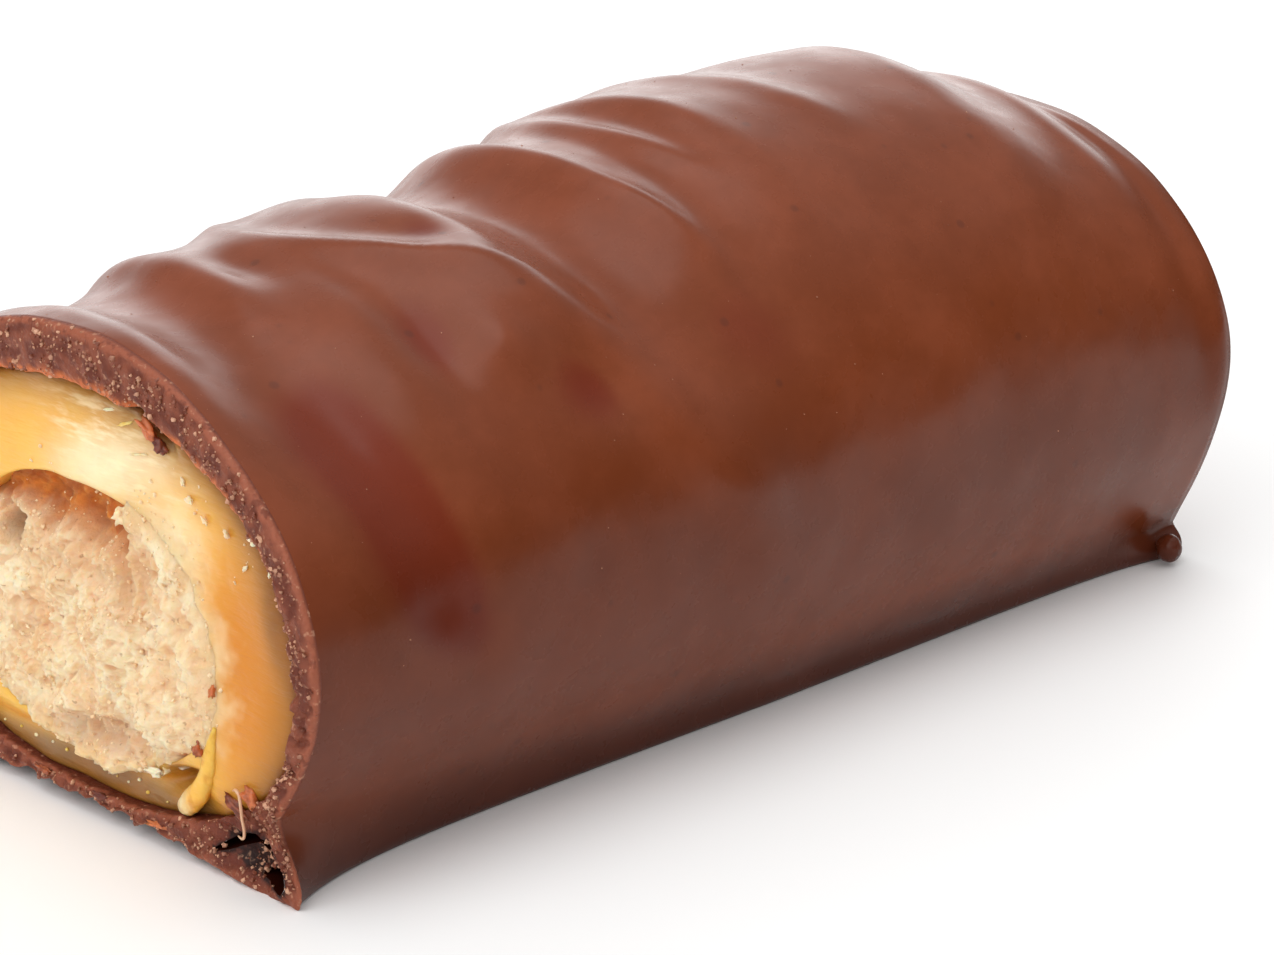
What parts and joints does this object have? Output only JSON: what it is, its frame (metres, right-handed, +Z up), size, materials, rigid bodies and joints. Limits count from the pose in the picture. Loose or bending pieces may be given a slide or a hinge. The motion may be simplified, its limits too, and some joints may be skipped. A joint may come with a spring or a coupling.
{
  "type": "chocolate-coated caramel bar",
  "caption": "Piece of a milk chocolate bar lying flat, cut across at one end to show caramel around a pale crumbly centre, with a domed rippled coating.",
  "frame": {"origin": "on the surface the bar rests on, under the middle of its length and width", "axes": "+X along the bar from the cut end to the coated end, +Z up, the shown long side faces -Y"},
  "size_m": [0.0522, 0.028, 0.0228],
  "materials": {
    "milk_chocolate": "smooth semi-gloss milk chocolate with soft ripples, granular dull brown where it is cut",
    "soft_caramel": "glossy soft caramel, translucent amber to golden, with pale stretch marks at the cut",
    "pale_crumb": "matt crumbly biscuit-like centre, pale beige with small brown flecks"
  },
  "bodies": {
    "root": {"chocolate_coating": "milk_chocolate", "caramel_layer": "soft_caramel", "crumb_centre": "pale_crumb"}
  },
  "joints": []
}
